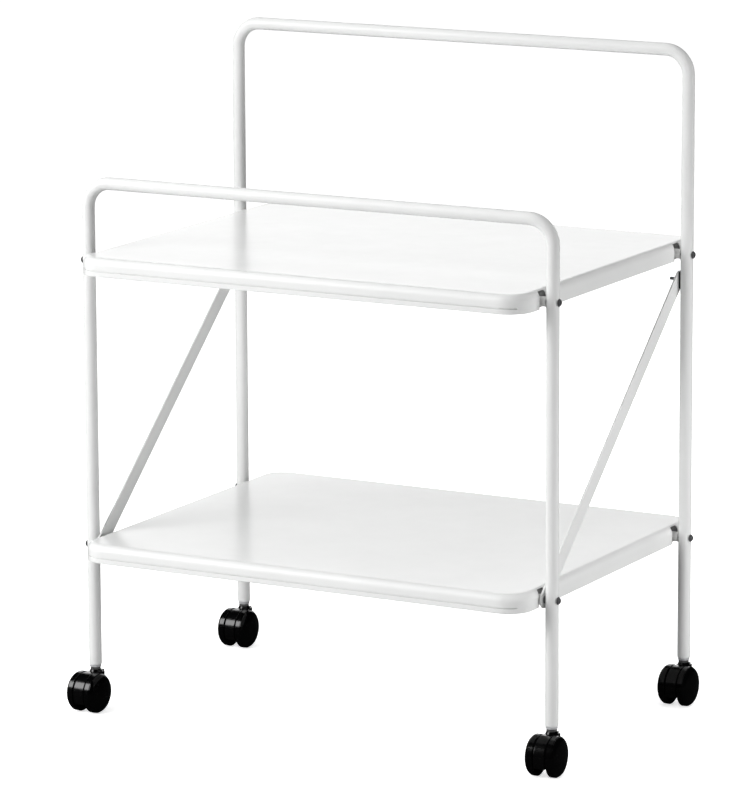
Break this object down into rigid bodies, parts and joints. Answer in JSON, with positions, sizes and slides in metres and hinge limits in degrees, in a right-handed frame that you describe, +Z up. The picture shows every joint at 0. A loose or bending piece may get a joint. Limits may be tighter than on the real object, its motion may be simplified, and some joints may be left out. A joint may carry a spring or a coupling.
{
  "type": "rolling utility cart",
  "caption": "Two-tier rolling cart: bent white tube frames with low and high end bars, pressed steel trays, flat side braces and black twin-wheel swivel casters.",
  "frame": {"origin": "on the floor, under the middle of the cart", "axes": "+Z up, +X along the handle bars to the right as seen from the low handle's side, +Y from the low handle to the high one"},
  "size_m": [0.6864, 0.487, 0.834],
  "materials": {
    "white_enamel": "glossy",
    "white_plastic": "satin",
    "zinc_steel": "satin",
    "black_steel": "satin",
    "black_plastic": "satin",
    "black_wheel": "satin"
  },
  "bodies": {
    "frame": {"front_frame_tube": "white_enamel", "rear_frame_tube": "white_enamel", "upper_shelf": "white_enamel", "upper_shelf_bracket_front_left": "white_enamel", "upper_shelf_bracket_front_right": "white_enamel", "upper_shelf_bracket_rear_left": "white_enamel", "upper_shelf_bracket_rear_right": "white_enamel", "upper_shelf_spacers": "white_plastic", "upper_shelf_nuts": "zinc_steel", "upper_shelf_screws": "black_steel", "lower_shelf": "white_enamel", "lower_shelf_bracket_front_left": "white_enamel", "lower_shelf_bracket_front_right": "white_enamel", "lower_shelf_bracket_rear_left": "white_enamel", "lower_shelf_bracket_rear_right": "white_enamel", "lower_shelf_spacers": "white_plastic", "lower_shelf_nuts": "zinc_steel", "lower_shelf_screws": "black_steel", "brace_left": "white_enamel", "brace_right": "white_enamel", "brace_pad_left": "black_plastic", "brace_pad_right": "black_plastic", "brace_studs": "black_steel", "brace_nuts": "zinc_steel", "brace_washers": "black_steel", "caster_front_left_socket": "zinc_steel", "caster_front_left_stem": "zinc_steel", "caster_front_right_socket": "zinc_steel", "caster_front_right_stem": "zinc_steel", "caster_rear_left_socket": "zinc_steel", "caster_rear_left_stem": "zinc_steel", "caster_rear_right_socket": "zinc_steel", "caster_rear_right_stem": "zinc_steel"},
    "caster_front_left": {"caster_front_left_hood": "black_plastic", "caster_front_left_axle": "zinc_steel"},
    "caster_front_left_wheel_left": {"caster_front_left_wheel_left": "black_wheel"},
    "caster_front_left_wheel_right": {"caster_front_left_wheel_right": "black_wheel"},
    "caster_front_right": {"caster_front_right_hood": "black_plastic", "caster_front_right_axle": "zinc_steel"},
    "caster_front_right_wheel_left": {"caster_front_right_wheel_left": "black_wheel"},
    "caster_front_right_wheel_right": {"caster_front_right_wheel_right": "black_wheel"},
    "caster_rear_left": {"caster_rear_left_hood": "black_plastic", "caster_rear_left_axle": "zinc_steel"},
    "caster_rear_left_wheel_left": {"caster_rear_left_wheel_left": "black_wheel"},
    "caster_rear_left_wheel_right": {"caster_rear_left_wheel_right": "black_wheel"},
    "caster_rear_right": {"caster_rear_right_hood": "black_plastic", "caster_rear_right_axle": "zinc_steel"},
    "caster_rear_right_wheel_left": {"caster_rear_right_wheel_left": "black_wheel"},
    "caster_rear_right_wheel_right": {"caster_rear_right_wheel_right": "black_wheel"}
  },
  "joints": [
    {"name": "caster_front_left_swivel", "type": "hinge", "parent": "frame", "child": "caster_front_left", "pos_m": [-0.3195, -0.186, 0.0518], "axis": [0, 0, 1], "continuous": true},
    {"name": "caster_front_left_wheel_left_spin", "type": "hinge", "parent": "caster_front_left", "child": "caster_front_left_wheel_left", "pos_m": [-0.3203, -0.20128, 0.0252], "axis": [0.9986, -0.0523, 0], "continuous": true},
    {"name": "caster_front_left_wheel_right_spin", "type": "hinge", "parent": "caster_front_left", "child": "caster_front_left_wheel_right", "pos_m": [-0.3203, -0.20128, 0.0252], "axis": [0.9986, -0.0523, 0], "continuous": true},
    {"name": "caster_front_right_swivel", "type": "hinge", "parent": "frame", "child": "caster_front_right", "pos_m": [0.3195, -0.186, 0.0518], "axis": [0, 0, 1], "continuous": true},
    {"name": "caster_front_right_wheel_left_spin", "type": "hinge", "parent": "caster_front_right", "child": "caster_front_right_wheel_left", "pos_m": [0.3203, -0.20128, 0.0252], "axis": [0.9986, 0.0523, 0], "continuous": true},
    {"name": "caster_front_right_wheel_right_spin", "type": "hinge", "parent": "caster_front_right", "child": "caster_front_right_wheel_right", "pos_m": [0.3203, -0.20128, 0.0252], "axis": [0.9986, 0.0523, 0], "continuous": true},
    {"name": "caster_rear_left_swivel", "type": "hinge", "parent": "frame", "child": "caster_rear_left", "pos_m": [-0.3195, 0.186, 0.0518], "axis": [0, 0, 1], "continuous": true},
    {"name": "caster_rear_left_wheel_left_spin", "type": "hinge", "parent": "caster_rear_left", "child": "caster_rear_left_wheel_left", "pos_m": [-0.3195, 0.1707, 0.0252], "axis": [1, 0, 0], "continuous": true},
    {"name": "caster_rear_left_wheel_right_spin", "type": "hinge", "parent": "caster_rear_left", "child": "caster_rear_left_wheel_right", "pos_m": [-0.3195, 0.1707, 0.0252], "axis": [1, 0, 0], "continuous": true},
    {"name": "caster_rear_right_swivel", "type": "hinge", "parent": "frame", "child": "caster_rear_right", "pos_m": [0.3195, 0.186, 0.0518], "axis": [0, 0, 1], "continuous": true},
    {"name": "caster_rear_right_wheel_left_spin", "type": "hinge", "parent": "caster_rear_right", "child": "caster_rear_right_wheel_left", "pos_m": [0.3195, 0.1707, 0.0252], "axis": [1, 0, 0], "continuous": true},
    {"name": "caster_rear_right_wheel_right_spin", "type": "hinge", "parent": "caster_rear_right", "child": "caster_rear_right_wheel_right", "pos_m": [0.3195, 0.1707, 0.0252], "axis": [1, 0, 0], "continuous": true}
  ]
}
